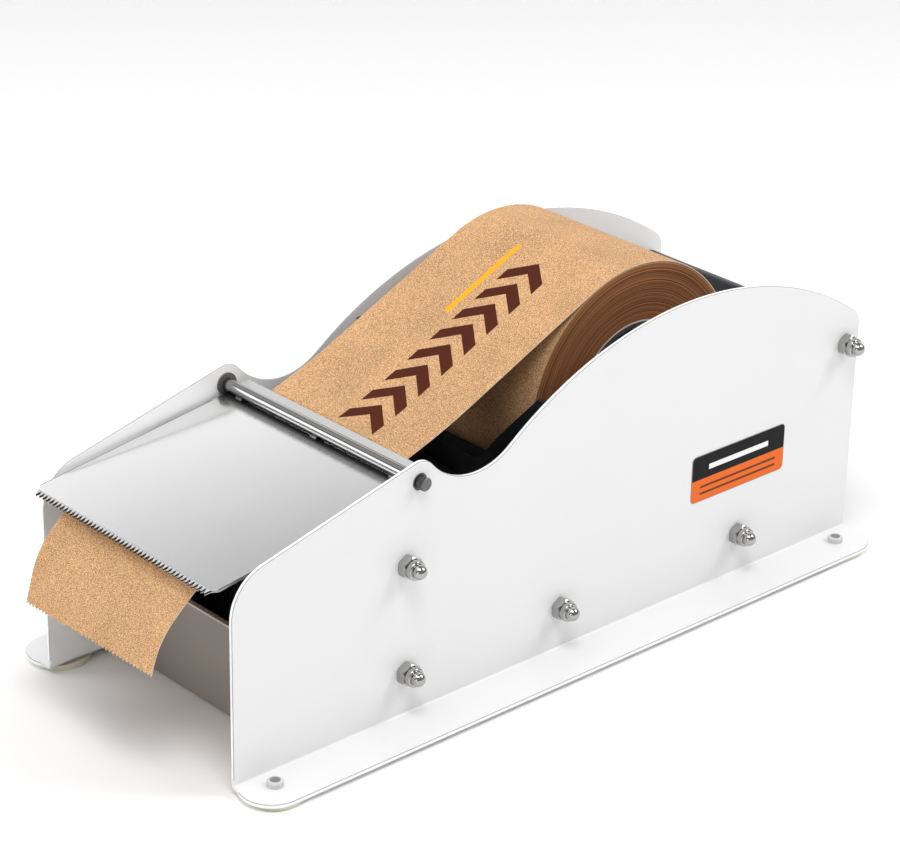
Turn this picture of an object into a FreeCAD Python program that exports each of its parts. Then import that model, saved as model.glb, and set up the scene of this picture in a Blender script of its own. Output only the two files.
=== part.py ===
"""Gummed tape dispenser: two sheet-steel side plates on tie rods carry a roll cradle,
a hinged cutter plate and a loose water tank with its brush. Millimetres, +Z up,
front (cutter edge) towards -X, origin on the table at the centre of the footprint."""
import FreeCAD
import Part
import math
import os

# ---------------------------------------------------------------- driving dimensions
# "station" is the distance behind the side plates' front edge; heights are above the table.

plate_length = 312.0
plate_thickness = 1.6
plates_outer_width = 110.0
flange_width = 20.0
flange_nose = 1.7
flange_corner_radius = 12.0
flange_blend_radius = 3.0
bend_inner_radius = 0.8
plate_edge_radius = 0.35
front_top_radius = 18.0
top_slope_deg = 14.2
ear_radius = 7.6
dip_radius = 27.0
dip_height = 88.7
back_radius = 155.5
back_height = 125.9
rear_corner_radius = 8.0

pad_radius = 11.0
pad_thickness = 2.0
pad_recess_radius = 3.2
pad_recess_depth = 0.9
foot_front_inset = 11.5
foot_rear_inset = 14.0
foot_offset = 8.0
rivet_radius = 1.5
rivet_head_radius = 3.0
rivet_head_height = 2.2
rivet_head_fillet = 0.8
rivet_flare_radius = 2.6
rivet_flare_thickness = 0.5
rivet_clearance = 0.1

rod_radius = 2.5
rod_clearance = 0.1
spacer_radius = 4.0
spacer_bore_clearance = 0.2
front_rod_station = 77.0
front_upper_rod_height = 63.0
lower_rod_height = 20.5
middle_rod_station = 152.5
rear_lower_rod_inset = 64.5
rear_upper_rod_inset = 8.0
rear_upper_rod_drop = 16.0

nut_across_flats = 8.0
nut_hex_height = 3.8
nut_chamfer = 0.5
nut_collar_radius = 3.7
nut_collar_height = 2.4
nut_collar_fillet = 0.6
nut_height = 9.6
nut_dome_radius = 2.8
nut_bore_clearance = 0.05
nut_bore_depth = 6.2
rod_end_gap = 0.3

bar_radius = 2.5
bar_station = 82.7
bar_height = 93.5
bar_overhang = 3.5
bar_chamfer = 0.3
bush_wall = 0.65
bush_running_clearance = 0.05
bush_hole_clearance = 0.05
bush_flange_radius = 4.3
bush_flange_thickness = 0.8

blade_thickness = 1.0
blade_width = 103.0
blade_slope_deg = 8.1
blade_reach = 90.3
blade_tail = 7.9
blade_lip_start = 3.4
blade_lip_deg = 22.5
blade_lip_radius = 1.5
blade_corner_chamfer = 2.0
blade_rear_radius = 2.5
tooth_count = 48
tooth_depth = 2.1
tooth_bend_deg = 15.0
tooth_bend_radius = 2.0
weld_radius = 0.8
weld_length = 3.2
weld_sink = 0.3
weld_edge_inset = 8.5

roll_station = 203.6
roll_radius = 52.0
roll_height = 85.7
tape_width = 76.0
core_inner_radius = 27.5
core_wall = 2.5
core_clearance = 0.05
tape_thickness = 0.4
tape_roll_gap = 0.3
tape_wrap_deg = -20.0
tape_exit_gap = 4.6
tape_brush_gap = 0.5
tape_rear_gap = 1.8
tape_crest_overrun = 0.5
tape_crest_radius = 25.0
tape_bar_station = 84.5
tape_lip_gap = 0.4
tape_dip_radius = 2.0
tape_rise_height = 93.1
tape_rise_radius = 1.6
tape_sag_station = 110.0
tape_sag_height = 99.7
tape_sag_radius = 250.0
tape_exit_station = 1.4
tape_exit_radius = 3.0
tail_reach = 21.2
tail_drop = 28.9
tail_left_back = 2.0
tail_left_drop = 3.9
tail_start_deg = 41.0
tail_end_deg = 74.0
tail_radius = 32.0
tail_joint_gap = 0.05
tear_count = 37
tear_depth = 1.1

cradle_thickness = 2.2
cradle_bore_radius = 56.0
cradle_side_gap = 0.4
cradle_front_height = 103.5
cradle_seat_gap = 0.3
cradle_hook_gap = 0.3
cradle_hook_deg = -100.0
cradle_hook_tail = 2.0
notch_height = 66.0
notch_half_width = 12.0
notch_flare_deg = 43.0
notch_radius = 7.0
rib_thickness = 3.0
rib_offset = 32.0
rib_top_height = 75.0
rib_heel = 9.0
rib_saddle_gap = 0.1
rib_window_inset = 14.0
rib_window_height = 26.0

tank_wall = 2.0
tank_floor = 2.0
tank_height = 40.0
tank_length = 39.5
tank_stop_gap = 0.3
tank_table_gap = 0.3
tank_side_gap = 0.5
tank_collar_depth = 12.0
tank_collar_step = 2.2
tank_corner_radius = 4.0
tank_lip_radius = 3.0
tank_lip_length = 0.3
tank_base_radius = 1.5
mould_mark_radius = 3.5
mould_mark_depth = 0.3
mould_mark_drop = 7.0

brush_length = 24.8
brush_wall_gap = 0.3
brush_base_height = 7.0
bristle_inset = 0.6
bristle_tape_gap = 0.3

label_length = 51.5
label_height = 19.5
label_thickness = 0.2
label_radius = 2.0
label_station = 220.3
label_bottom = 41.0

# ---------------------------------------------------------------- derived places

half_outer = plates_outer_width / 2
half_inner = half_outer - plate_thickness
half_flange = half_outer + flange_width
half_tape = tape_width / 2
plate_foot = pad_thickness
front_x = -(plate_length - tail_reach) / 2

# the outline's dip touches the ear round the bar, and its long back arc touches the dip
dip_z = dip_height + dip_radius
dip_reach = math.sqrt((ear_radius + dip_radius) ** 2 - (dip_z - bar_height) ** 2)
dip_centre = (bar_station + dip_reach, dip_z)
back_z = back_height - back_radius
back_reach = math.sqrt((back_radius + dip_radius) ** 2 - (dip_z - back_z) ** 2)
back_centre = (dip_centre[0] + back_reach, back_z)

rear_lower_rod_station = plate_length - rear_lower_rod_inset
rear_upper_rod_station = plate_length - rear_upper_rod_inset
back_rise = math.sqrt(back_radius ** 2 - (rear_upper_rod_station - back_centre[0]) ** 2)
rear_upper_rod_height = back_z + back_rise - rear_upper_rod_drop
rod_places = {
    "front_upper": (front_rod_station, front_upper_rod_height),
    "front_lower": (front_rod_station, lower_rod_height),
    "middle": (middle_rod_station, lower_rod_height),
    "rear_lower": (rear_lower_rod_station, lower_rod_height),
    "rear_upper": (rear_upper_rod_station, rear_upper_rod_height),
}
rod_hole_radius = rod_radius + rod_clearance
bush_bore_radius = bar_radius + bush_running_clearance
bush_radius = bush_bore_radius + bush_wall
foot_y = half_outer + foot_offset
foot_stations = {"front": foot_front_inset, "rear": plate_length - foot_rear_inset}

blade_slope = math.radians(blade_slope_deg)
blade_under = bar_radius + blade_thickness
cradle_centre = (roll_station, roll_height - roll_radius - cradle_seat_gap + cradle_bore_radius)
cradle_mid_radius = cradle_bore_radius + cradle_thickness / 2
half_cradle = half_inner - cradle_side_gap
half_tank = half_inner - tank_side_gap
half_tank_body = half_tank - tank_collar_step
tank_rear = front_rod_station - spacer_radius - tank_stop_gap
tank_body_rear = tank_rear - tank_collar_step
tank_front = tank_body_rear - tank_length
tank_bottom = tank_table_gap
tank_top = tank_bottom + tank_height
tank_floor_top = tank_bottom + tank_floor

same = 0.001  # lengths closer than this count as equal
x_axis = FreeCAD.Vector(1, 0, 0)
y_axis = FreeCAD.Vector(0, 1, 0)
z_axis = FreeCAD.Vector(0, 0, 1)


# ---------------------------------------------------------------- flat geometry helpers

def point(station, height, y=0.0):
    return FreeCAD.Vector(front_x + station, y, height)


def polar(centre, radius, angle):
    return (centre[0] + radius * math.cos(angle), centre[1] + radius * math.sin(angle))


def angle_between(start, end):
    return math.atan2(end[1] - start[1], end[0] - start[0])


def side_line(start, end):
    return Part.LineSegment(point(*start), point(*end)).toShape()


def side_arc(centre, radius, start, end):
    """Arc in the side view from one angle to another, the way the angles run."""
    places = [polar(centre, radius, a) for a in (start, (start + end) / 2, end)]
    return Part.Arc(*[point(*p) for p in places]).toShape()


def rounded_path(places, radii):
    """Edges of a side-view path whose inner corners are rounded by tangent arcs."""
    edges = []
    last = places[0]
    for before, corner, after, radius in zip(places, places[1:], places[2:], radii):
        way_in = angle_between(before, corner)
        turn = math.remainder(angle_between(corner, after) - way_in, 2 * math.pi)
        reach = radius * math.tan(abs(turn) / 2)
        start = polar(corner, -reach, way_in)
        side = math.copysign(math.pi / 2, turn)
        centre = polar(start, radius, way_in + side)
        if math.dist(last, start) > same:
            edges.append(side_line(last, start))
        edges.append(side_arc(centre, radius, way_in - side, way_in - side + turn))
        last = polar(centre, radius, way_in - side + turn)
    if math.dist(last, places[-1]) > same:
        edges.append(side_line(last, places[-1]))
    return edges


def offset_path(places, radii, distance):
    """The same path moved sideways, to its left for a positive distance."""
    ways = [angle_between(a, b) for a, b in zip(places, places[1:])]
    moved = [polar(places[0], distance, ways[0] + math.pi / 2)]
    new_radii = []
    for corner, way_in, way_out, radius in zip(places[1:], ways, ways[1:], radii):
        turn = math.remainder(way_out - way_in, 2 * math.pi)
        moved.append(polar(corner, distance / math.cos(turn / 2), way_in + turn / 2 + math.pi / 2))
        new_radii.append(radius - distance * math.copysign(1, turn))
    moved.append(polar(places[-1], distance, ways[-1] + math.pi / 2))
    return moved, new_radii


def face_from(edges):
    return Part.Face(Part.Wire(Part.__sortEdges__(edges)))


def strip_face(places, radii, thickness):
    """Side-view section of a bent sheet whose middle line is the path."""
    left = offset_path(places, radii, thickness / 2)
    right = offset_path(places, radii, -thickness / 2)
    caps = [side_line(left[0][i], right[0][i]) for i in (0, -1)]
    return face_from(rounded_path(*left) + rounded_path(*right) + caps)


def across(face, half_width):
    """Prism of a side-view face, centred between the side plates."""
    face.translate(y_axis * -half_width)
    return face.extrude(y_axis * (2 * half_width))


def side_polygon(corners):
    return Part.Face(Part.makePolygon([point(*c) for c in corners + corners[:1]]))


def block(station_0, station_1, half_width, low, high):
    corner = point(station_0, low, -half_width)
    return Part.makeBox(station_1 - station_0, 2 * half_width, high - low, corner)


def cross_cylinder(radius, place, y_0, y_1):
    return Part.makeCylinder(radius, y_1 - y_0, point(*place, y_0), y_axis)


def upright(shape, height):
    """Edges of a shape that stand vertically and are about this long."""
    found = []
    for edge in shape.Edges:
        ends = [v.Point for v in edge.Vertexes]
        if len(ends) < 2:
            continue
        rise = ends[1] - ends[0]
        if abs(abs(rise.z) - height) < same and math.hypot(rise.x, rise.y) < same:
            found.append(edge)
    return found


def long_edge_at(shape, y, z):
    """The edge that runs along the plate at this y and z."""
    for edge in shape.Edges:
        if all(abs(v.Point.y - y) < same and abs(v.Point.z - z) < same for v in edge.Vertexes):
            return edge
    raise ValueError("no edge at y %.2f z %.2f" % (y, z))


def rim_edges(plate):
    """Edges round the sheet's outline: none along its bend and none through its thickness."""
    found = []
    for edge in plate.Edges:
        a, b = edge.Vertexes[0].Point, edge.Vertexes[-1].Point
        along_bend = abs(a.x - b.x) > plate_length / 2 and a.y < half_flange - same
        through = edge.Length < plate_thickness + same
        if not along_bend and not through:
            found.append(edge)
    return found


def mirrored(shape):
    return shape.mirror(FreeCAD.Vector(0, 0, 0), y_axis)


# ---------------------------------------------------------------- side plates

def plate_outline():
    """Closed side view: front edge, slope, ear round the bar, dip, long back arc, rear edge."""
    slope = math.radians(top_slope_deg)
    ear = (bar_station, bar_height)
    corner_z = bar_height + ear_radius / math.cos(slope) - bar_station * math.tan(slope)
    turn = math.pi / 2 - slope
    corner_centre = (front_top_radius, corner_z - front_top_radius * math.tan(turn / 2))
    rear_s = plate_length - rear_corner_radius
    inner = back_radius - rear_corner_radius
    rear = (rear_s, back_z + math.sqrt(inner ** 2 - (rear_s - back_centre[0]) ** 2))
    up = math.pi / 2
    to_dip = angle_between(ear, dip_centre)
    to_back = angle_between(dip_centre, back_centre)
    to_rear = angle_between(back_centre, rear)
    return [
        side_line((0, plate_foot), (0, corner_centre[1])),
        side_arc(corner_centre, front_top_radius, math.pi, up + slope),
        side_line(polar(corner_centre, front_top_radius, up + slope), polar(ear, ear_radius, up + slope)),
        side_arc(ear, ear_radius, up + slope, to_dip),
        side_arc(dip_centre, dip_radius, to_dip - math.pi, to_back),
        side_arc(back_centre, back_radius, to_back + math.pi, to_rear),
        side_arc(rear, rear_corner_radius, to_rear, 0),
        side_line((plate_length, rear[1]), (plate_length, plate_foot)),
        side_line((plate_length, plate_foot), (0, plate_foot)),
    ]


def flange_outline():
    """Plan view of the out-turned foot; its front corner bulges a little past the upright."""
    r, q = flange_corner_radius, flange_blend_radius

    def line(a, b):
        return Part.LineSegment(point(a[0], plate_foot, a[1]), point(b[0], plate_foot, b[1])).toShape()

    def corner(centre, radius, start, end):
        places = [polar(centre, radius, a) for a in (start, (start + end) / 2, end)]
        return Part.Arc(*[point(p[0], plate_foot, p[1]) for p in places]).toShape()

    front = (r - flange_nose, half_flange - r)
    rear = (plate_length - r, half_flange - r)
    sink = math.sqrt((r + q) ** 2 - (front[0] + q) ** 2)
    blend = (-q, front[1] - sink)
    swell = angle_between(blend, front)
    return [
        line((0, half_inner), (0, blend[1])),
        corner(blend, q, 0, swell),
        corner(front, r, swell + math.pi, math.pi / 2),
        line((front[0], half_flange), (rear[0], half_flange)),
        corner(rear, r, math.pi / 2, 0),
        line((plate_length, rear[1]), (plate_length, half_inner)),
        line((plate_length, half_inner), (0, half_inner)),
    ]


def side_plate_left():
    web = face_from(plate_outline())
    web.translate(y_axis * half_inner)
    web = web.extrude(y_axis * plate_thickness)
    flange = face_from(flange_outline()).extrude(z_axis * plate_thickness)
    plate = web.fuse(flange).removeSplitter()
    inside = long_edge_at(plate, half_outer, plate_foot + plate_thickness)
    plate = plate.makeFillet(bend_inner_radius, [inside])
    outside = long_edge_at(plate, half_inner, plate_foot)
    plate = plate.makeFillet(bend_inner_radius + plate_thickness, [outside])
    plate = plate.makeFillet(plate_edge_radius, rim_edges(plate))
    for place in rod_places.values():
        plate = plate.cut(cross_cylinder(rod_hole_radius, place, half_inner - 1, half_outer + 1))
    bush_hole = bush_radius + bush_hole_clearance
    plate = plate.cut(cross_cylinder(bush_hole, (bar_station, bar_height), half_inner - 1, half_outer + 1))
    for station in foot_stations.values():
        hole = Part.makeCylinder(rivet_radius + rivet_clearance, plate_thickness + 2,
                                 point(station, plate_foot - 1, foot_y))
        plate = plate.cut(hole)
    return plate


# ---------------------------------------------------------------- rods, nuts, feet

def tie_rod(place):
    half = half_outer + nut_bore_depth - rod_end_gap
    return cross_cylinder(rod_radius, place, -half, half)


def spacer_tube(place):
    bore = rod_radius + spacer_bore_clearance
    tube = cross_cylinder(spacer_radius, place, -half_inner, half_inner)
    return tube.cut(cross_cylinder(bore, place, -half_inner, half_inner))


def cap_nut():
    """Domed nut standing on the plane z = 0, its corners towards +Y and -Y."""
    corner = nut_across_flats / math.sqrt(3)
    turns = [math.radians(60 * k) for k in range(7)]
    ring = [FreeCAD.Vector(corner * math.sin(a), corner * math.cos(a), 0) for a in turns]
    hexagon = Part.Face(Part.makePolygon(ring)).extrude(z_axis * nut_hex_height)
    blank = Part.makeCylinder(corner, nut_hex_height)
    rims = [e for e in blank.Edges if isinstance(e.Curve, Part.Circle)]
    body = hexagon.common(blank.makeChamfer(nut_chamfer, rims))
    collar = Part.makeCylinder(nut_collar_radius, nut_collar_height, z_axis * nut_hex_height)
    top = nut_hex_height + nut_collar_height
    rim = [e for e in collar.Edges if isinstance(e.Curve, Part.Circle) and e.Curve.Center.z > top - same]
    collar = collar.makeFillet(nut_collar_fillet, rim)
    dome = Part.makeSphere(nut_dome_radius, z_axis * (nut_height - nut_dome_radius))
    nut = body.fuse(collar).fuse(dome)
    return nut.cut(Part.makeCylinder(rod_radius + nut_bore_clearance, nut_bore_depth))


def cap_nuts_left():
    nuts = []
    for place in rod_places.values():
        nut = cap_nut()
        nut.rotate(FreeCAD.Vector(0, 0, 0), x_axis, -90)
        nut.translate(point(*place, half_outer))
        nuts.append(nut)
    return Part.makeCompound(nuts)


def foot_pad(station):
    pad = Part.makeCylinder(pad_radius, pad_thickness, point(station, 0, foot_y))
    hole = Part.makeCylinder(rivet_radius + rivet_clearance, pad_thickness, point(station, 0, foot_y))
    recess = Part.makeCylinder(pad_recess_radius, pad_recess_depth, point(station, 0, foot_y))
    return pad.cut(hole).cut(recess)


def foot_rivet(station):
    seat = plate_foot + plate_thickness
    head = Part.makeCylinder(rivet_head_radius, rivet_head_height, point(station, seat, foot_y))
    top = seat + rivet_head_height
    rim = [e for e in head.Edges if isinstance(e.Curve, Part.Circle) and e.Curve.Center.z > top - same]
    head = head.makeFillet(rivet_head_fillet, rim)
    low = pad_recess_depth - rivet_flare_thickness
    shank = Part.makeCylinder(rivet_radius, seat - low, point(station, low, foot_y))
    flare = Part.makeCylinder(rivet_flare_radius, rivet_flare_thickness, point(station, low, foot_y))
    return head.fuse(shank).fuse(flare)


def foot_rivets():
    left = [foot_rivet(station) for station in foot_stations.values()]
    return Part.makeCompound(left + [mirrored(r) for r in left])


# ---------------------------------------------------------------- bar, bushes and cutter plate

def bar_bush_left():
    place = (bar_station, bar_height)
    flange_y = half_inner - bush_flange_thickness
    bush = cross_cylinder(bush_flange_radius, place, flange_y, half_inner)
    bush = bush.fuse(cross_cylinder(bush_radius, place, half_inner, half_outer))
    return bush.cut(cross_cylinder(bush_bore_radius, place, flange_y, half_outer))


def hinge_bar():
    half = half_outer + bar_overhang
    bar = cross_cylinder(bar_radius, (bar_station, bar_height), -half, half)
    return bar.makeChamfer(bar_chamfer, [e for e in bar.Edges if isinstance(e.Curve, Part.Circle)])


def onto_blade(shape):
    """Take a shape from the cutter plate's own flat frame, whose origin is the bar's axis."""
    shape.rotate(FreeCAD.Vector(0, 0, 0), y_axis, -blade_slope_deg)
    shape.translate(point(bar_station, bar_height))
    return shape


def blade_place(along, up):
    """Station and height of a place in the cutter plate's flat frame."""
    return polar(polar((bar_station, bar_height), along, blade_slope), up, blade_slope + math.pi / 2)


def blade_plan(root):
    """Prism of the plate's outline: rounded rear, clipped front corners and a row of teeth."""
    half = blade_width / 2
    half_teeth = half - blade_corner_chamfer
    pitch = 2 * half_teeth / tooth_count
    outline = [(blade_tail, half), (root + blade_corner_chamfer, half), (root, half_teeth)]
    for k in range(tooth_count):
        y = half_teeth - k * pitch
        outline += [(-blade_reach, y - pitch / 2), (root, y - pitch)]
    outline += [(root + blade_corner_chamfer, -half), (blade_tail, -half)]
    depth = bar_radius + 4 * blade_thickness
    height = depth + blade_tail
    corners = [FreeCAD.Vector(u, y, -depth) for u, y in outline]
    plan = Part.Face(Part.makePolygon(corners + corners[:1])).extrude(z_axis * height)
    rear = [e for e in upright(plan, height) if e.Vertexes[0].Point.x > blade_tail - same]
    return onto_blade(plan.makeFillet(blade_rear_radius, rear))


def blade_plate():
    """Sheet whose toothed front strip is bent down and whose rear lip is turned up behind the bar."""
    root = -blade_reach + tooth_depth
    middle = -bar_radius - blade_thickness / 2
    bend, turn = blade_place(root, middle), blade_place(blade_lip_start, middle)
    tip = polar(bend, -2 * tooth_depth, blade_slope + math.radians(tooth_bend_deg))
    end = polar(turn, 2 * blade_tail, blade_slope + math.radians(blade_lip_deg))
    sheet = strip_face([end, turn, bend, tip], [blade_lip_radius, tooth_bend_radius], blade_thickness)
    return across(sheet, half_inner).common(blade_plan(root))


def tack_welds():
    """Short beads in the two corners between the bar and the plate."""
    drop = bar_radius - weld_radius + weld_sink
    reach = math.sqrt((bar_radius + weld_radius - weld_sink) ** 2 - drop ** 2)
    edge = blade_width / 2 - weld_edge_inset
    beads = []
    for y in (-edge, 0.0, edge):
        for u in (-reach, reach):
            start = FreeCAD.Vector(u, y - weld_length / 2, -drop)
            beads.append(Part.makeCylinder(weld_radius, weld_length, start, y_axis))
    return onto_blade(Part.makeCompound(beads))


# ---------------------------------------------------------------- tape

def under_blade(station, gap):
    """Height of the line that runs this far below the cutter plate's underside."""
    drop = (blade_under + gap) / math.cos(blade_slope)
    return bar_height - drop + (station - bar_station) * math.tan(blade_slope)


def paper_roll():
    place = (roll_station, roll_height)
    core = core_inner_radius + core_wall + core_clearance
    roll = cross_cylinder(roll_radius, place, -half_tape, half_tape)
    return roll.cut(cross_cylinder(core, place, -half_tape, half_tape))


def roll_core():
    place = (roll_station, roll_height)
    core = cross_cylinder(core_inner_radius + core_wall, place, -half_tape, half_tape)
    return core.cut(cross_cylinder(core_inner_radius, place, -half_tape, half_tape))


def tape_lead():
    """Where the tape leaves under the cutter edge, and where it tops the brush."""
    crest = brush_stations()[0] - tape_crest_overrun
    return ((tape_exit_station, under_blade(tape_exit_station, tape_exit_gap)),
            (crest, under_blade(crest, tape_brush_gap)))


def tape_run():
    """Loose length: round the roll, down behind the bar, over the brush, out under the cutter."""
    centre = (roll_station, roll_height)
    wrap = roll_radius + tape_roll_gap + tape_thickness / 2
    sag = (tape_sag_station, tape_sag_height)
    climb = angle_between(sag, centre) + math.asin(wrap / math.dist(sag, centre))
    wrap_end = math.radians(tape_wrap_deg)
    half_turn = (climb + math.pi / 2 - wrap_end) / 2
    crest_rear = brush_stations()[1] + tape_crest_overrun
    lip_rise = (blade_tail - blade_lip_start) * math.tan(math.radians(blade_lip_deg))
    lip_swing = math.hypot(blade_tail, blade_under - lip_rise)
    upright_station = bar_station + lip_swing + tape_lip_gap + tape_thickness / 2
    path = [
        *tape_lead(),
        (crest_rear, under_blade(crest_rear, tape_brush_gap)),
        (tape_bar_station, under_blade(tape_bar_station, tape_rear_gap)),
        (upright_station, under_blade(upright_station, tape_rear_gap)),
        (upright_station, tape_rise_height),
        sag,
        polar(centre, wrap / math.cos(half_turn), wrap_end + half_turn),
        polar(centre, wrap, wrap_end),
    ]
    radii = [tape_crest_radius, tape_crest_radius, tape_crest_radius,
             tape_dip_radius, tape_rise_radius, tape_sag_radius, wrap]
    return across(strip_face(path, radii, tape_thickness), half_tape)


def tear_cutter(end_right, end_left, way):
    """Zigzag prism that leaves the torn edge's teeth at a tape end running this way."""
    pitch = tape_width / tear_count
    along = FreeCAD.Vector(math.cos(way), 0, math.sin(way)) * tear_depth
    first, last = point(*end_right, -half_tape), point(*end_left, half_tape)
    step = (last - first) / tear_count
    normal = along.cross(step).normalize() * (tape_thickness * 2)
    ring = [first]
    for k in range(tear_count):
        ring += [first + step * (k + 1 / 2) - along, first + step * (k + 1)]
    ring += [last + step + along, first - step + along, first - step]
    ring = [p - normal for p in ring]
    return Part.Face(Part.makePolygon(ring + ring[:1])).extrude(normal * 2)


def tail_section(end, y):
    """Outline of the tail's section on one side of the tape."""
    leave, crest = tape_lead()
    way = angle_between(leave, crest)
    start = polar(leave, -tail_joint_gap, way)
    corner = polar(start, -tape_exit_radius, way)
    a, b = math.radians(tail_start_deg), math.radians(tail_end_deg)
    dx, dz = corner[0] - end[0], corner[1] - end[1]
    along = (dx * math.sin(a) - dz * math.cos(a)) / math.sin(a - b)
    path = [start, corner, polar(end, along, b), end]
    outline = strip_face(path, [tape_exit_radius, tail_radius], tape_thickness).OuterWire
    outline.translate(y_axis * y)
    return outline


def tape_tail():
    """End of the tape, turned down in front of the cutter edge, a little twisted, and torn off."""
    reach = tail_reach - tape_thickness / 2
    height = tape_lead()[0][1] - tail_drop
    right = (-reach, height + tail_left_drop / 2)
    left = (tail_left_back - reach, height - tail_left_drop / 2)
    tail = Part.makeLoft([tail_section(right, -half_tape), tail_section(left, half_tape)], True, True)
    return tail.cut(tear_cutter(right, left, math.radians(tail_end_deg) + math.pi))


# ---------------------------------------------------------------- cradle

def cradle_path():
    """Middle line: front wall, round bottom, rear ramp, hook over the rear upper spacer."""
    hook = (rear_upper_rod_station, rear_upper_rod_height)
    hook_radius = spacer_radius + cradle_hook_gap + cradle_thickness / 2
    span = math.dist(cradle_centre, hook)
    ramp = angle_between(cradle_centre, hook) + math.asin((cradle_mid_radius + hook_radius) / span)
    touch = polar(cradle_centre, cradle_mid_radius, ramp - math.pi / 2)
    front = cradle_centre[0] - cradle_mid_radius
    low_corner = polar(touch, -(touch[0] - front) / math.cos(ramp), ramp)
    leave = polar(hook, hook_radius, ramp + math.pi / 2)
    end_way = math.radians(cradle_hook_deg)
    reach = hook_radius * math.tan((ramp - end_way) / 2)
    top_corner = polar(leave, reach, ramp)
    end = polar(top_corner, reach + cradle_hook_tail, end_way)
    path = [(front, cradle_front_height), low_corner, top_corner, end]
    return path, [cradle_mid_radius, hook_radius]


def notch_cutter():
    """Trapezoid notch with rounded lower corners, cut through the front wall."""
    top = cradle_front_height + notch_radius
    flare = math.radians(notch_flare_deg)
    wide = notch_half_width + (top - notch_height) * math.tan(flare)
    station = cradle_centre[0] - cradle_mid_radius - 2 * cradle_thickness
    corners = [(-wide, top), (-notch_half_width, notch_height), (notch_half_width, notch_height), (wide, top)]
    ring = [point(station, z, y) for y, z in corners + corners[:1]]
    tool = Part.Face(Part.makePolygon(ring)).extrude(FreeCAD.Vector(4 * cradle_thickness, 0, 0))
    low = [e for e in tool.Edges if all(abs(v.Point.z - notch_height) < same for v in e.Vertexes)
           and abs(e.Vertexes[0].Point.y - e.Vertexes[-1].Point.y) < same]
    return tool.makeFillet(notch_radius, low)


def cradle_rib(y, hollow):
    """Upright web under the trough that sits on the two lower spacer tubes."""
    front = cradle_centre[0] - cradle_mid_radius
    rear = rear_lower_rod_station + rib_heel
    rib = block(front, rear, rib_thickness / 2, lower_rod_height, rib_top_height)
    rib.translate(y_axis * y)
    rib = rib.cut(hollow)
    saddle = spacer_radius + rib_saddle_gap
    for station in (middle_rod_station, rear_lower_rod_station):
        rib = rib.cut(cross_cylinder(saddle, (station, lower_rod_height), -half_inner, half_inner))
    return rib.cut(block(middle_rod_station + rib_window_inset, rear_lower_rod_station - rib_window_inset,
                         half_inner, lower_rod_height, rib_window_height))


def tape_cradle():
    path, radii = cradle_path()
    shell = across(strip_face(path, radii, cradle_thickness), half_cradle)
    shell = shell.cut(notch_cutter())
    front, low_corner, hook_corner = path[:3]
    lid = (hook_corner[0], cradle_front_height)
    walls = rounded_path([front, low_corner, hook_corner], radii[:1])
    hollow = across(face_from(walls + [side_line(hook_corner, lid), side_line(lid, front)]), half_cradle)
    for y in (-rib_offset, rib_offset):
        shell = shell.fuse(cradle_rib(y, hollow))
    return shell.removeSplitter()


# ---------------------------------------------------------------- water tank and brush

def water_tank():
    collar_low = tank_top - tank_collar_depth
    body = block(tank_front, tank_body_rear, half_tank_body, tank_bottom, tank_top)
    body = body.makeFillet(tank_corner_radius, upright(body, tank_height))
    base = [e for e in body.Edges if all(abs(v.Point.z - tank_bottom) < same for v in e.Vertexes)]
    body = body.makeFillet(tank_base_radius, base)
    collar = block(tank_front, tank_rear, half_tank, collar_low, tank_top)
    collar = collar.makeFillet(tank_corner_radius, upright(collar, tank_collar_depth))
    inner_radius = tank_corner_radius - tank_wall
    room = block(tank_front + tank_wall, tank_body_rear - tank_wall, half_tank_body - tank_wall,
                 tank_floor_top, tank_top)
    room = room.makeFillet(inner_radius, upright(room, tank_top - tank_floor_top))
    mouth = block(tank_front + tank_wall, tank_rear - tank_wall, half_tank - tank_wall,
                  collar_low + tank_wall, tank_top)
    mouth = mouth.makeFillet(inner_radius, upright(mouth, tank_collar_depth - tank_wall))
    tank = body.fuse(collar).cut(room).cut(mouth)
    lip_low = tank_top - tank_lip_radius - tank_wall
    above = block(tank_front - tank_wall, tank_front + tank_wall, half_tank, lip_low, tank_top)
    tank = tank.cut(above)
    wall_middle = tank_front + tank_wall / 2
    lip_middle = tank_top - tank_wall / 2
    mid_radius = tank_lip_radius + tank_wall / 2
    path = [(wall_middle, lip_low), (wall_middle, lip_middle),
            (wall_middle - mid_radius - tank_lip_length, lip_middle)]
    lip = across(strip_face(path, [mid_radius], tank_wall), half_tank)
    tank = tank.fuse(lip).removeSplitter()
    mark_place = ((tank_front + tank_wall + brush_stations()[0]) / 2, tank_top - mould_mark_drop)
    reach = half_tank - tank_wall + mould_mark_depth
    return tank.cut(cross_cylinder(mould_mark_radius, mark_place, -reach, reach))


def brush_stations():
    rear = tank_body_rear - tank_wall - brush_wall_gap
    return rear - brush_length, rear


def brush_base():
    front, rear = brush_stations()
    half = half_tank_body - tank_wall - brush_wall_gap
    base = block(front, rear, half, tank_floor_top, tank_floor_top + brush_base_height)
    return base.makeFillet(tank_corner_radius - tank_wall, upright(base, brush_base_height))


def brush_bristles():
    front, rear = brush_stations()
    front, rear = front + bristle_inset, rear - bristle_inset
    half = half_tank_body - tank_wall - brush_wall_gap - bristle_inset
    foot = tank_floor_top + brush_base_height
    gap = tape_brush_gap + tape_thickness / 2 + bristle_tape_gap
    corners = [(front, foot), (rear, foot), (rear, under_blade(rear, gap)), (front, under_blade(front, gap))]
    return across(side_polygon(corners), half)


# ---------------------------------------------------------------- label

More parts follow.
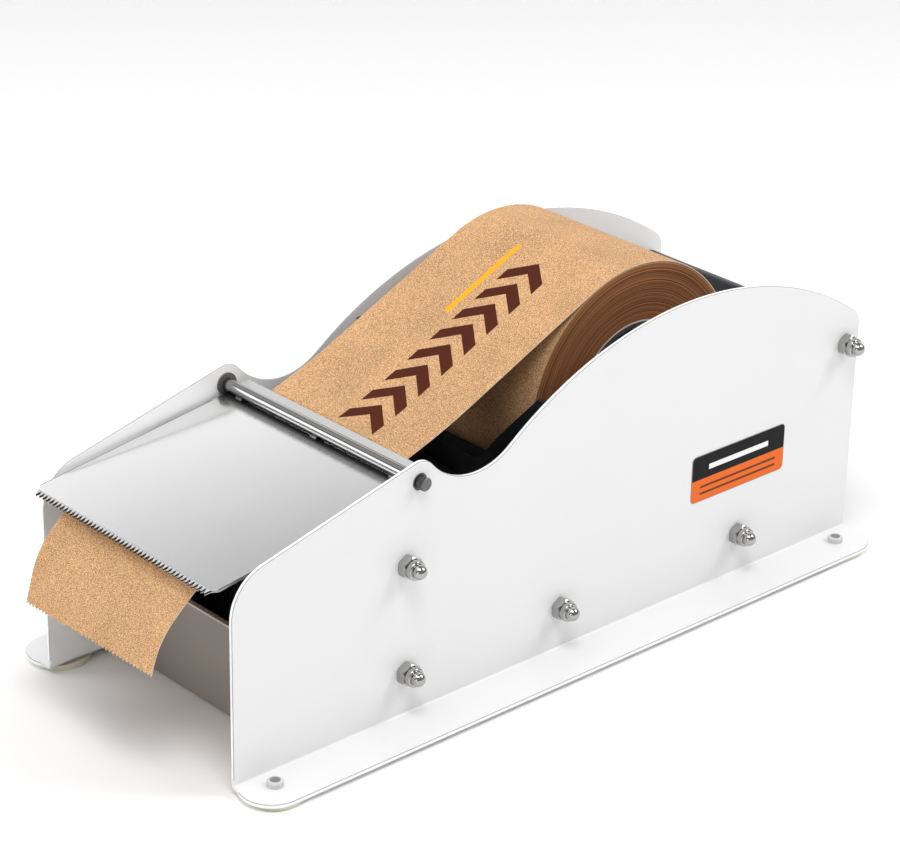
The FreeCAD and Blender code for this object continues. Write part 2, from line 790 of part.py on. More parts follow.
def label_plate():
    label = Part.makeBox(label_length, label_thickness, label_height,
                         point(label_station, label_bottom, -half_outer - label_thickness))
    corners = [e for e in label.Edges if abs(e.Vertexes[0].Point.y - e.Vertexes[-1].Point.y) > same]
    return label.makeFillet(label_radius, corners)


# ---------------------------------------------------------------- all nodes

def nodes():
    made = {"side_plate_left": side_plate_left()}
    made["side_plate_right"] = mirrored(made["side_plate_left"])
    for name, place in rod_places.items():
        made["tie_rod_" + name] = tie_rod(place)
        made["spacer_tube_" + name] = spacer_tube(place)
    made["cap_nuts_left"] = cap_nuts_left()
    made["cap_nuts_right"] = mirrored(made["cap_nuts_left"])
    for end, station in foot_stations.items():
        made["foot_pad_%s_left" % end] = foot_pad(station)
        made["foot_pad_%s_right" % end] = mirrored(foot_pad(station))
    made["foot_rivets"] = foot_rivets()
    made["bar_bush_left"] = bar_bush_left()
    made["bar_bush_right"] = mirrored(made["bar_bush_left"])
    made["hinge_bar"] = hinge_bar()
    made["blade_plate"] = blade_plate()
    made["tack_welds"] = tack_welds()
    made["tape_cradle"] = tape_cradle()
    made["paper_roll"] = paper_roll()
    made["roll_core"] = roll_core()
    made["tape_run"] = tape_run()
    made["tape_tail"] = tape_tail()
    made["water_tank"] = water_tank()
    made["brush_base"] = brush_base()
    made["brush_bristles"] = brush_bristles()
    made["label_plate"] = label_plate()
    return made


os.makedirs("parts", exist_ok=True)
for node, shape in nodes().items():
    shape.exportStep("parts/%s.step" % node)
    box = shape.BoundBox
    print("%-28s solids %2d  valid %s  x %7.1f %7.1f  y %6.1f %6.1f  z %6.1f %6.1f  vol %9.1f" % (
        node, len(shape.Solids), shape.isValid(), box.XMin, box.XMax, box.YMin, box.YMax, box.ZMin, box.ZMax,
        shape.Volume))
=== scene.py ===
import bpy
import math
from mathutils import Matrix, Vector


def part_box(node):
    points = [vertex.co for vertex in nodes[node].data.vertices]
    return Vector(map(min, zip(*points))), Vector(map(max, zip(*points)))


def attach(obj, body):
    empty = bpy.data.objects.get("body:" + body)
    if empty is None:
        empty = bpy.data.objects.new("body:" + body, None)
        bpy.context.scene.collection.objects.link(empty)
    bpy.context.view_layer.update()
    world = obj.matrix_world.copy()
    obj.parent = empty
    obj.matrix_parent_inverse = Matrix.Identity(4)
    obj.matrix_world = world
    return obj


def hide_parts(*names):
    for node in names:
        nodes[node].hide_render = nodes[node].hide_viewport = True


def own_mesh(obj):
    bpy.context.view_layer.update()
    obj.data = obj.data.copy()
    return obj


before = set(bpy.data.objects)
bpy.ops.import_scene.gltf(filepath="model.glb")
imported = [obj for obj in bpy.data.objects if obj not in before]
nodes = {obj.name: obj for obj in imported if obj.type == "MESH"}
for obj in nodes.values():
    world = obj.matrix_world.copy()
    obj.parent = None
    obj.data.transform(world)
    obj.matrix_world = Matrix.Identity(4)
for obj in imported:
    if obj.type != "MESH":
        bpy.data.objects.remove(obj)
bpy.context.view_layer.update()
print("frame loaded:", len(nodes), "nodes")


# node trees are written as arithmetic on sockets
class Wire:
    # one output socket; arithmetic on it adds Math nodes to its tree
    def __init__(self, book, socket):
        self.book = book
        self.socket = socket

    def __add__(self, other):
        return self.book.maths("ADD", self, other)

    __radd__ = __add__

    def __sub__(self, other):
        return self.book.maths("SUBTRACT", self, other)

    def __rsub__(self, other):
        return self.book.maths("SUBTRACT", other, self)

    def __mul__(self, other):
        return self.book.maths("MULTIPLY", self, other)

    __rmul__ = __mul__

    def __truediv__(self, other):
        return self.book.maths("DIVIDE", self, other)

    def __lt__(self, other):
        return self.book.maths("LESS_THAN", self, other)

    def __gt__(self, other):
        return self.book.maths("GREATER_THAN", self, other)

    def __abs__(self):
        return self.book.maths("ABSOLUTE", self)

    def least(self, other):
        return self.book.maths("MINIMUM", self, other)

    def most(self, other):
        return self.book.maths("MAXIMUM", self, other)

    def within(self, low, high):
        return (self > low) * (self < high)


class NodeBook:
    # any node of a shader or geometry tree comes from node()
    def __init__(self, tree):
        self.tree = tree

    def node(self, kind, settings=None, sockets=None, out=0):
        made = self.tree.nodes.new(kind)
        for key, value in (settings or {}).items():
            setattr(made, key, value)
        for key, value in (sockets or {}).items():
            if isinstance(value, Wire):
                self.tree.links.new(value.socket, made.inputs[key])
            else:
                made.inputs[key].default_value = value
        return Wire(self, made.outputs[out])

    def maths(self, operation, *values):
        return self.node("ShaderNodeMath", {"operation": operation}, dict(enumerate(values)))

    def split(self, vector):
        first = self.node("ShaderNodeSeparateXYZ", None, {0: vector})
        parts = first.socket.node.outputs
        return [Wire(self, parts[i]) for i in range(3)]

    def ease(self, value, low, high):
        return self.node("ShaderNodeMapRange", {"interpolation_type": "SMOOTHSTEP"},
                         {"Value": value, "From Min": low, "From Max": high})


class Finish(NodeBook):
    # one material: object coordinates in, one Principled shader out
    def __init__(self, name, **constants):
        self.material = bpy.data.materials.new(name)
        self.material.use_nodes = True
        super().__init__(self.material.node_tree)
        self.tree.nodes.clear()
        self.shader = self.tree.nodes.new("ShaderNodeBsdfPrincipled")
        end = self.tree.nodes.new("ShaderNodeOutputMaterial")
        self.tree.links.new(self.shader.outputs[0], end.inputs["Surface"])
        for key, value in constants.items():
            self.shader.inputs[key.replace("_", " ")].default_value = value
        self.place = self.node("ShaderNodeTexCoord", None, None, "Object")

    def stretched(self, scale, turn=(0, 0, 0)):
        return self.node("ShaderNodeMapping", None, {"Vector": self.place, "Scale": scale, "Rotation": turn})

    def noise(self, vector, scale, detail=2.0, rough=0.5):
        return self.node("ShaderNodeTexNoise", None,
                         {"Vector": vector, "Scale": scale, "Detail": detail, "Roughness": rough})

    def blend(self, factor, first, second):
        colours = [c if isinstance(c, Wire) else (*c, 1.0) for c in (first, second)]
        return self.node("ShaderNodeMix", {"data_type": "RGBA"},
                         {0: factor, 6: colours[0], 7: colours[1]}, 2)

    def away(self, across, up):
        # distance from the point where both values are zero
        return self.maths("SQRT", across * across + up * up)

    def feed(self, **inputs):
        for key, value in inputs.items():
            self.tree.links.new(value.socket, self.shader.inputs[key.replace("_", " ")])
        return self

    def bump(self, height, strength, distance):
        normal = self.node("ShaderNodeBump", None,
                           {"Strength": strength, "Distance": distance, "Height": height})
        return self.feed(Normal=normal)


def dress(material, *names):
    for name in names:
        for slot in nodes[name].material_slots:
            slot.material = material


# sizes are metres; a noise is (features per metre, detail, roughness) and streaks are its scale by axis;
# a show is how strongly a mark covers what is under it, a spread the tones between which two colours mix
plateLook = {
    "colour": (0.8, 0.8, 0.8), "shadeColour": (0.77, 0.77, 0.775), "insidePaintedLightColour": (0.92, 0.92, 0.92),
    "edgeHighlightColour": (0.95, 0.95, 0.95), "arrisShadeColour": (0.22, 0.22, 0.225), "arrisShadeShow": 0.8,
    "lineStart": 0.00003, "lineEnd": 0.00028, "thickness": 0.0016, "bendHeight": 0.0042,
    "bendReach": 0.0035, "faceSlack": 0.0001, "roughness": 0.34, "roughByGrain": 0.12,
    "cloud": (14.0, 3.0), "grain": (900.0, 2.0), "grainStrength": 0.25, "grainDepth": 0.00003,
    "shader": {"Coat_Weight": 0.2, "Coat_Roughness": 0.15},
}


def powderCoat():
    # a fine grey line of painted shade runs along each arris; the cut edge is whiter with a painted
    # highlight and the inside face is whiter with painted light
    look = plateLook
    coat = Finish("whitePowderCoat", **look["shader"])
    cloud = coat.noise(coat.place, *look["cloud"])
    grain = coat.noise(coat.place, *look["grain"])
    y, z = coat.split(coat.place)[1:]
    side = abs(y)
    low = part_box("side_plate_left")[0]
    innerFace = low.y
    outerFace = innerFace + look["thickness"]
    flangeTop = low.z + look["thickness"]
    inFromFace = (side - innerFace).least(outerFace - side)
    inFromTop = flangeTop - z
    onWeb = z > low.z + look["bendHeight"]
    onRim = (side > outerFace + look["bendReach"]) * (z < flangeTop)
    # masks of painted shade along each arris and of a painted highlight on the cut edge
    line = onWeb * inFromFace.within(look["lineStart"], look["lineEnd"])
    line = line + onRim * inFromTop.within(look["lineStart"], look["lineEnd"])
    edge = onWeb * (inFromFace > look["lineEnd"]) + onRim * (inFromTop > look["lineEnd"])
    colour = coat.blend(cloud, look["colour"], look["shadeColour"])
    # painted light on the inside face, a painted highlight on the cut edge and painted shade along each
    # arris
    colour = coat.blend(side < innerFace + look["faceSlack"], colour, look["insidePaintedLightColour"])
    colour = coat.blend(edge, colour, look["edgeHighlightColour"])
    colour = coat.blend(line * look["arrisShadeShow"], colour, look["arrisShadeColour"])
    coat.feed(Base_Color=colour, Roughness=look["roughness"] + (grain - 0.5) * look["roughByGrain"])
    return coat.bump(grain, look["grainStrength"], look["grainDepth"]).material


dress(powderCoat(), "side_plate_left", "side_plate_right")
print("side plates coated")


metalLook = {
    "barSteel": {"colour": (0.31, 0.31, 0.31), "roughness": 0.17, "change": 0.16,
                 "streaks": (60.0, 5000.0, 60.0)},
    "zincSteel": {"colour": (0.5, 0.505, 0.51), "roughness": 0.38, "change": 0.16,
                  "streaks": (500.0, 300.0, 500.0)},
    "brightNut": {"colour": (0.43, 0.426, 0.418), "roughness": 0.12, "change": 0.16,
                  "streaks": (700.0, 700.0, 700.0)},
    "weldMetal": {"colour": (0.16, 0.16, 0.165), "roughness": 0.35, "change": 0.16,
                  "streaks": (1500.0, 1500.0, 1500.0)},
    "cutterSteel": {"colour": (0.86, 0.86, 0.86), "roughness": 0.165, "change": 0.05,
                    "streaks": (26.0, 2600.0, 400.0)},
}
grindLook = {"streak": (1.0, 4.0, 0.6), "cloud": (30.0, 3.0), "cloudChange": 0.1, "dark": 0.86, "light": 1.1,
             "roughByStreak": 0.6, "roughByCloud": 0.05, "strength": 0.15, "depth": 0.00002}


def metalBody(name):
    # streaks along one way and faint clouds move the colour and the gloss
    look, grind = metalLook[name], grindLook
    made = Finish(name, Metallic=1.0)
    streak = made.noise(made.stretched(look["streaks"]), *grind["streak"])
    cloud = made.noise(made.place, *grind["cloud"])
    shade = (streak - 0.5) * look["change"] + (cloud - 0.5) * grind["cloudChange"] + 0.5
    dark = [c * grind["dark"] for c in look["colour"]]
    light = [min(1.0, c * grind["light"]) for c in look["colour"]]
    roughness = look["roughness"] + (streak - 0.5) * look["change"] * grind["roughByStreak"]
    roughness = roughness + (cloud - 0.5) * grind["roughByCloud"]
    made.bump(streak, grind["strength"], grind["depth"])
    return made, made.blend(shade, dark, light), roughness


def metal(name):
    made, colour, roughness = metalBody(name)
    return made.feed(Base_Color=colour, Roughness=roughness).material


barEndLook = {"overlap": 0.0002, "colour": (0.1, 0.1, 0.102), "rougher": 0.2,
              "faceDepth": 0.00012, "faceColour": (0.16, 0.16, 0.163)}


def barMetal():
    # ground bright between the plates, dull where it stands out past them
    look = barEndLook
    made, colour, roughness = metalBody("barSteel")
    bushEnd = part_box("bar_bush_left")[1].y
    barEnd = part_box("hinge_bar")[1].y
    reach = abs(made.split(made.place)[1])
    dull = reach > bushEnd - look["overlap"]
    colour = made.blend(dull, colour, look["colour"])
    colour = made.blend(reach > barEnd - look["faceDepth"], colour, look["faceColour"])
    return made.feed(Base_Color=colour, Roughness=roughness + dull * look["rougher"]).material


# places on the cutter are measured up its slope from the bar's axis, so the teeth are at minus
cutterLook = {
    "slopeDeg": 8.1, "thickness": 0.001, "skin": 0.1, "toothStart": -0.0882, "toothDeg": 15.0,
    "lipStart": 0.0034, "lipDeg": 22.5, "cutColour": (0.3, 0.3, 0.31), "cutRougher": 0.2,
    "toothFlankShadeColour": (0.012, 0.012, 0.013), "toothOverlap": 0.0002, "toothFlankShadeDull": 0.8,
    "edgeShadeWidth": 0.00035, "edgeShadeColour": (0.17, 0.17, 0.173),
}
barShadowLook = {
    "start": -0.0016, "full": -0.0026, "end": -0.0086, "colour": (0.08, 0.08, 0.082), "rougher": 0.25,
    "streaks": (120.0, 700.0, 120.0), "noise": (1.0, 3.0), "wander": 0.0015,
}


def cutterMetal():
    # satin faces with a dark line of painted shade along the side edges; cut edges are rougher and painted
    # darker as shade, and the tooth flanks are painted nearly black as shade
    look = cutterLook
    made, colour, roughness = metalBody("cutterSteel")
    x, y, z = made.split(made.place)
    low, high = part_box("hinge_bar")
    pivot = (low + high) / 2
    slope = math.radians(look["slopeDeg"])
    across, up = x - pivot.x, z - pivot.z
    along = across * math.cos(slope) + up * math.sin(slope)
    height = up * math.cos(slope) - across * math.sin(slope)
    half = look["thickness"] / 2
    middle = (low.z - high.z) / 2 - half

    def depthUnder(start, degrees):
        tilt = math.radians(degrees)
        line = (along - start) * math.tan(tilt) + middle
        return (line - height) * math.cos(tilt) + half

    toothDepth = depthUnder(look["toothStart"], look["toothDeg"])
    lipDepth = depthUnder(look["lipStart"], look["lipDeg"])
    depth = depthUnder(0.0, 0.0).least(toothDepth).most(lipDepth)
    cut = depth.within(look["thickness"] * look["skin"], look["thickness"] * (1 - look["skin"]))
    inTeeth = along < look["toothStart"] + look["toothOverlap"]

    # painted shadow and reflection of the bar: a dark band on the top face, in front of the bar
    barShadow = barShadowLook
    shadowNoise = made.noise(made.stretched(barShadow["streaks"]), *barShadow["noise"])
    reach = along + (shadowNoise - 0.5) * barShadow["wander"]
    paintedBarShadow = made.ease(reach, barShadow["end"], barShadow["full"]) * (along < barShadow["start"]) * (height > middle)
    colour = made.blend(paintedBarShadow, colour, barShadow["colour"])
    # painted shade darkens the cut faces and makes the tooth flanks nearly black
    colour = made.blend(cut, colour, look["cutColour"])
    colour = made.blend(cut * inTeeth, colour, look["toothFlankShadeColour"])
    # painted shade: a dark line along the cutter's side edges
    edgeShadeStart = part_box("blade_plate")[1].y - look["edgeShadeWidth"]
    edgeShade = (abs(y) > edgeShadeStart) * (along < barShadow["end"]) * (1 - cut)
    colour = made.blend(edgeShade, colour, look["edgeShadeColour"])
    roughness = roughness + cut * look["cutRougher"] + paintedBarShadow * barShadow["rougher"]
    metallic = 1 - cut * inTeeth * look["toothFlankShadeDull"]
    return made.feed(Base_Color=colour, Roughness=roughness, Metallic=metallic).material


dress(cutterMetal(), "blade_plate")
dress(barMetal(), "hinge_bar")
dress(metal("weldMetal"), "tack_welds")
dress(metal("brightNut"), "cap_nuts_left", "cap_nuts_right")
zincSteel = metal("zincSteel")
for end in ("front_upper", "front_lower", "middle", "rear_lower", "rear_upper"):
    dress(zincSteel, "spacer_tube_" + end, "tie_rod_" + end)
print("metals done")


mouldedLook = {
    "cradlePlastic": {"colour": (0.012, 0.0135, 0.017), "roughness": 0.4, "grain": (1400.0, 2.0),
                      "depth": 0.00003, "shader": {"Specular_IOR_Level": 0.3}},
    "tankPlastic": {"colour": (0.29, 0.253, 0.225), "roughness": 0.42, "grain": (1100.0, 2.0),
                    "depth": 0.00002},
    "brushBase": {"colour": (0.02, 0.02, 0.021), "roughness": 0.5, "grain": (900.0, 2.0),
                  "depth": 0.00003},
    "bushNylon": {"colour": (0.09, 0.09, 0.095), "roughness": 0.4, "grain": (1800.0, 2.0),
                  "depth": 0.00001},
    "padRubber": {"colour": (0.76, 0.72, 0.6), "roughness": 0.35, "grain": (700.0, 2.0),
                  "depth": 0.00002, "shader": {"Subsurface_Weight": 0.3, "Subsurface_Scale": 0.002}},
}
skinLook = {"cloud": (45.0, 3.0), "dark": 0.9, "roughByGrain": 0.14, "roughByCloud": 0.1, "strength": 0.3}


def mouldedBody(name):
    # a moulded skin: fine grain and faint clouds
    look, skin = mouldedLook[name], skinLook
    made = Finish(name, **look.get("shader", {}))
    grain = made.noise(made.place, *look["grain"])
    cloud = made.noise(made.place, *skin["cloud"])
    dark = [c * skin["dark"] for c in look["colour"]]
    roughness = look["roughness"] + (grain - 0.5) * skin["roughByGrain"]
    roughness = roughness + (cloud - 0.5) * skin["roughByCloud"]
    made.bump(grain, skin["strength"], look["depth"])
    return made, made.blend(cloud, dark, look["colour"]), roughness


def moulded(name):
    made, colour, roughness = mouldedBody(name)
    return made.feed(Base_Color=colour, Roughness=roughness).material


rimHighlightLook = {"colour": (0.6, 0.56, 0.52), "start": 0.0008, "full": 0.0005, "smoother": 0.15}


def tankPlastic():
    # the lip's top edge is painted paler as a highlight, and is smoother
    look = rimHighlightLook
    made, colour, roughness = mouldedBody("tankPlastic")
    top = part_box("water_tank")[1].z
    height = made.split(made.place)[2]
    # painted highlight along the lip's top edge
    paintedRimHighlight = made.ease(height, top - look["start"], top - look["full"])
    colour = made.blend(paintedRimHighlight, colour, look["colour"])
    return made.feed(Base_Color=colour, Roughness=roughness - paintedRimHighlight * look["smoother"]).material


rivetLook = {"colour": (0.66, 0.66, 0.66), "cupShadeAndGrime": (0.16, 0.16, 0.162), "cupShadeRadius": 0.0019, "grime": 0.3,
             "roughness": 0.14, "roughByGrain": 0.08, "grain": (1800.0, 2.0),
             "shader": {"Coat_Weight": 0.5, "Coat_Roughness": 0.08}}


def rivetHead():
    # a pale glossy head with a dark disc of painted shade in its middle
    look = rivetLook
    made = Finish("rivetNylon", **look["shader"])
    x, y = made.split(made.place)[:2]
    pads = [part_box("foot_pad_" + place) for place in ("front_left", "rear_left")]
    front, rear = [(low + high) / 2 for low, high in pads]
    offX = abs(x - front.x).least(abs(x - rear.x))
    offY = abs(y) - abs(front.y)
    # painted shade: the dark disc in the head's middle
    inCupShade = made.away(offX, offY) < look["cupShadeRadius"]
    grain = made.noise(made.place, *look["grain"])
    colour = made.blend(inCupShade, look["colour"], look["cupShadeAndGrime"])
    colour = made.blend(grain * look["grime"], colour, look["cupShadeAndGrime"])
    made.feed(Base_Color=colour, Roughness=look["roughness"] + grain * look["roughByGrain"])
    return made.material


dress(moulded("cradlePlastic"), "tape_cradle")
dress(tankPlastic(), "water_tank")
dress(moulded("brushBase"), "brush_base")
dress(moulded("bushNylon"), "bar_bush_left", "bar_bush_right")
dress(rivetHead(), "foot_rivets")
dress(moulded("padRubber"),
      "foot_pad_front_left", "foot_pad_front_right", "foot_pad_rear_left", "foot_pad_rear_right")
print("plastics done")


paperLook = {
    "colour": (0.56, 0.33, 0.167), "speckle": 0.52, "spread": (0.38, 0.62), "shares": (0.8, 0.1, 0.1),
    "fine": (3000.0, 1.0, 0.7), "coarse": (1050.0, 2.0, 0.6), "cloud": (45.0, 3.0),
    "fibres": (260.0, 2600.0, 900.0), "fibreTurn": (0, 0, 0.5), "fibreNoise": (1.0, 1.0),
    "cutColour": (0.88, 0.76, 0.6), "cutDepth": 0.00004, "cutShow": 0.5, "roughness": 0.8,
    "roughByGrain": 0.1, "grainStrength": 0.3, "grainDepth": 0.00005, "shader": {"Specular_IOR_Level": 0.15},
}
fleckLook = {
    "dark": {"colour": (0.27, 0.125, 0.044), "from": 0.3, "full": 0.16, "show": 0.55},
    "long": {"colour": (0.27, 0.125, 0.044), "from": 0.66, "full": 0.8, "show": 0.35},
    "pale": {"colour": (0.9, 0.68, 0.46), "from": 0.68, "full": 0.84, "show": 0.5},
}
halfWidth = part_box("paper_roll")[1].y


def kraftColour(paper):
    # pale and dark flecks finer than a millimetre over faint clouds and a few longer fibres
    look = paperLook
    fine = paper.noise(paper.place, *look["fine"])
    coarse = paper.noise(paper.place, *look["coarse"])
    cloud = paper.noise(paper.place, *look["cloud"])
    fibres = paper.noise(paper.stretched(look["fibres"], look["fibreTurn"]), *look["fibreNoise"])
    fineShare, coarseShare, cloudShare = look["shares"]
    grain = fine * fineShare + coarse * coarseShare + cloud * cloudShare
    dark = [c * (1 - look["speckle"]) for c in look["colour"]]
    pale = [min(1.0, c * (1 + look["speckle"])) for c in look["colour"]]
    colour = paper.blend(paper.ease(grain, *look["spread"]), dark, pale)
    for kind, source in (("dark", fine), ("long", fibres), ("pale", fine)):
        fleck = fleckLook[kind]
        mask = paper.ease(source, fleck["from"], fleck["full"]) * fleck["show"]
        colour = paper.blend(mask, colour, fleck["colour"])
    return colour, grain


def finishKraft(paper, colour, grain):
    # the sheet's cut edges show its pale inside
    look = paperLook
    y = paper.split(paper.place)[1]
    cut = abs(y) > halfWidth - look["cutDepth"]
    colour = paper.blend(cut * look["cutShow"], colour, look["cutColour"])
    paper.feed(Base_Color=colour, Roughness=look["roughness"] - grain * look["roughByGrain"])
    return paper.bump(grain, look["grainStrength"], look["grainDepth"]).material


# right and left are the two ends of the torn edge, as x, y and z
tornLook = {"right": (-0.1664, -0.038, 0.0464), "left": (-0.1646, 0.038, 0.0425), "slopeDeg": 74.0,
            "teeth": 37, "toothDepth": 0.0011, "fringe": 0.0006, "fringeShow": 0.75,
            "ragged": (3500.0, 1.0), "raggedDepth": 0.0004}


def tornKraft():
    # a pale fringe of pulled fibres follows the torn teeth
    look = tornLook
    paper = Finish("tornKraft", **paperLook["shader"])
    colour, grain = kraftColour(paper)
    x, y, z = paper.split(paper.place)
    right, left = look["right"], look["left"]
    share = (y - right[1]) / (left[1] - right[1])
    offX = x - right[0] - share * (left[0] - right[0])
    offZ = z - right[2] - share * (left[2] - right[2])
    fall = math.radians(look["slopeDeg"])
    inward = offX * math.cos(fall) + offZ * math.sin(fall)
    tooth = abs(paper.maths("FRACT", share * look["teeth"]) - 0.5) * 2
    ragged = paper.noise(paper.place, *look["ragged"]) * look["raggedDepth"]
    fringe = inward + ragged < (1 - tooth) * look["toothDepth"] + look["fringe"]
    colour = paper.blend(fringe * look["fringeShow"], colour, paperLook["cutColour"])
    return finishKraft(paper, colour, grain)


printLook = {
    "top": 0.09, "slant": 0.75, "wornFrom": 0.2, "wornTo": 0.42, "wornLoss": 0.2,
    "chevrons": {"colour": (0.075, 0.013, 0.004), "start": -0.0444, "pitch": 0.0109, "count": 8,
                 "ink": 0.52, "middle": -0.0068, "half": 0.0095},
    "bar": {"colour": (0.84, 0.4, 0.02), "start": 0.0056, "length": 0.037, "middle": 0.0082, "half": 0.0013},
}


def printedKraft():
    # a row of plain chevrons and a slim bar are printed where the tape climbs to the roll;
    # the slant bends a straight stroke across the tape into a chevron and points the bar's ends
    look = printLook
    paper = Finish("printedKraft", **paperLook["shader"])
    colour, grain = kraftColour(paper)
    x, y, z = paper.split(paper.place)
    chevrons = look["chevrons"]
    offset = abs(y - chevrons["middle"])
    row = (x - chevrons["start"] + offset * look["slant"]) / chevrons["pitch"]
    inked = (paper.maths("FRACT", row) < chevrons["ink"]) * row.within(0.0, chevrons["count"])
    inked = inked * (offset < chevrons["half"])
    bar = look["bar"]
    offset = abs(y - bar["middle"])
    stripe = (x - bar["start"] + offset * look["slant"]).within(0.0, bar["length"]) * (offset < bar["half"])
    cover = paper.ease(grain, look["wornFrom"], look["wornTo"]) * look["wornLoss"] + (1 - look["wornLoss"])
    cover = cover * (z > look["top"])
    colour = paper.blend(inked * cover, colour, chevrons["colour"])
    colour = paper.blend(stripe * cover, colour, bar["colour"])
    return finishKraft(paper, colour, grain)


rollLook = {
    "layer": 0.0005, "bandsPerMetre": 300.0, "ringDetail": 2.0, "ringRough": 0.7,
    "shares": (0.7, 0.15, 0.15), "spread": (0.37, 0.63), "pale": (0.34, 0.15, 0.062),
    "dark": (0.095, 0.032, 0.011), "rim": (0.62, 0.4, 0.24), "rimDepth": 0.0003, "rimShow": 0.4,
    "wobble": 0.0002, "wobbleNoise": (40.0, 2.0), "sideDepth": 0.0001, "strength": 0.4, "depth": 0.0001,
}
coreLow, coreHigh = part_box("roll_core")
axle = (coreLow + coreHigh) / 2


def woundKraft():
    # kraft outside, fine uneven rings where the turns' cut edges show, a pale line on the last turn
    look = rollLook
    paper = Finish("woundKraft", **paperLook["shader"])
    colour, grain = kraftColour(paper)
    x, y, z = paper.split(paper.place)
    wobble = (paper.noise(paper.place, *look["wobbleNoise"]) - 0.5) * look["wobble"]
    radius = paper.away(x - axle.x, z - axle.z) + wobble

    def rings(perMetre):
        return paper.node("ShaderNodeTexNoise", {"noise_dimensions": "1D"},
                          {"W": radius * perMetre, "Scale": 1.0,
                           "Detail": look["ringDetail"], "Roughness": look["ringRough"]})

    turns, bands = rings(1 / look["layer"]), rings(look["bandsPerMetre"])
    turnShare, bandShare, grainShare = look["shares"]
    tone = turns * turnShare + bands * bandShare + grain * grainShare
    side = paper.blend(paper.ease(tone, *look["spread"]), look["dark"], look["pale"])
    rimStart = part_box("paper_roll")[1].z - axle.z - look["rimDepth"]
    side = paper.blend((radius > rimStart) * look["rimShow"], side, look["rim"])
    onSide = abs(y) > halfWidth - look["sideDepth"]
    paper.feed(Base_Color=paper.blend(onSide, colour, side),
               Roughness=paperLook["roughness"] - grain * paperLook["roughByGrain"])
    return paper.bump(onSide * turns + (1 - onSide) * grain, look["strength"], look["depth"]).material


coreLook = {
    "board": (0.035, 0.037, 0.04), "fleck": (0.06, 0.062, 0.066), "rim": (0.6, 0.52, 0.44),
    "rimDepth": 0.0007, "mottle": (700.0, 3.0), "spiral": (90.0, 900.0, 90.0), "spiralTurn": (0.5, 0, 0),
    "spiralNoise": (1.0, 3.0), "spread": (0.3, 0.7), "roughness": 0.6, "roughByMottle": 0.1,
    "strength": 0.3, "depth": 0.00008,
}


def coreBoard():
    # dark mottled board with a spiral grain and a pale outer rim
    look = coreLook
    paper = Finish("coreBoard")
    x, _, z = paper.split(paper.place)
    radius = paper.away(x - axle.x, z - axle.z)
    mottle = paper.noise(paper.place, *look["mottle"])
    spiral = paper.noise(paper.stretched(look["spiral"], look["spiralTurn"]), *look["spiralNoise"])
    tone = paper.ease(mottle * 0.5 + spiral * 0.5, *look["spread"])
    colour = paper.blend(tone, look["board"], look["fleck"])
    rimStart = coreHigh.z - axle.z - look["rimDepth"]
    colour = paper.blend(radius > rimStart, colour, look["rim"])
    paper.feed(Base_Color=colour, Roughness=look["roughness"] - mottle * look["roughByMottle"])
    return paper.bump(mottle, look["strength"], look["depth"]).material


dress(printedKraft(), "tape_run")
dress(tornKraft(), "tape_tail")
dress(woundKraft(), "paper_roll")
dress(coreBoard(), "roll_core")
print("paper done")


# places on the label are measured from its middle
labelLook = {
    "corner": 0.002, "rim": 0.0002, "rimColour": (0.3, 0.27, 0.25), "charcoal": (0.004, 0.004, 0.005),
    "orange": (0.8, 0.15, 0.02), "split": -0.0004, "roughness": 0.34, "roughByGrain": 0.1,
    "grain": (1500.0, 2.0), "strength": 0.1, "depth": 0.00001, "shader": {"Specular_IOR_Level": 0.12},
}
stripeLook = (
    {"middle": 0.0038, "half": 0.0011, "reach": 0.0165, "colour": (0.85, 0.85, 0.85), "show": 1.0},
    {"middle": -0.0037, "half": 0.00045, "reach": 0.021, "colour": (0.06, 0.02, 0.012), "show": 0.9},
    {"middle": -0.0065, "half": 0.00045, "reach": 0.021, "colour": (0.06, 0.02, 0.012), "show": 0.9},
)


def labelFilm():
    # two plain fields with a stripe and two fine lines
    look = labelLook
    film = Finish("labelFilm", **look["shader"])
    x, _, z = film.split(film.place)
    low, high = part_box("label_plate")
    middle, size = (low + high) / 2, high - low
    across, up = abs(x - middle.x), z - middle.z
    outX = (across - (size.x / 2 - look["corner"])).most(0.0)
    outZ = (abs(up) - (size.z / 2 - look["corner"])).most(0.0)
    inside = outX * outX + outZ * outZ < (look["corner"] - look["rim"]) ** 2
    colour = film.blend(up > look["split"], look["orange"], look["charcoal"])
    for stripe in stripeLook:
        mask = (abs(up - stripe["middle"]) < stripe["half"]) * (across < stripe["reach"])
        colour = film.blend(mask * stripe["show"], colour, stripe["colour"])
    grain = film.noise(film.place, *look["grain"])
    film.feed(Base_Color=film.blend(inside, look["rimColour"], colour),
              Roughness=look["roughness"] + grain * look["roughByGrain"])
    return film.bump(grain, look["strength"], look["depth"]).material


dress(labelFilm(), "label_plate")
print("label done")


# shorter is the shortest hair's share of the full height, keep the share left under the tape's end
brushLook = {
    "columns": 36, "rows": 144, "radius": 0.00026, "sides": 3, "steps": 3, "margin": 0.0005,
    "jitter": 0.0002, "splay": 0.0022, "wavesPerMetre": 160.0, "lean": 0.03, "shorter": 0.965,
    "spin": 6.28, "seed": 7, "keep": 0.8, "slopeDeg": 8.1,
}
bristleLook = {"dark": (0.006, 0.006, 0.0065), "pale": (0.03, 0.03, 0.032), "patch": (900.0, 1.0),
               "roughness": 0.36, "roughByPatch": 0.2}


def bristleNylon():
    look = bristleLook
    hair = Finish("bristleNylon")
    patch = hair.noise(hair.place, *look["patch"])
    hair.feed(Base_Color=hair.blend(patch, look["dark"], look["pale"]),
              Roughness=look["roughness"] + patch * look["roughByPatch"])
    return hair.material


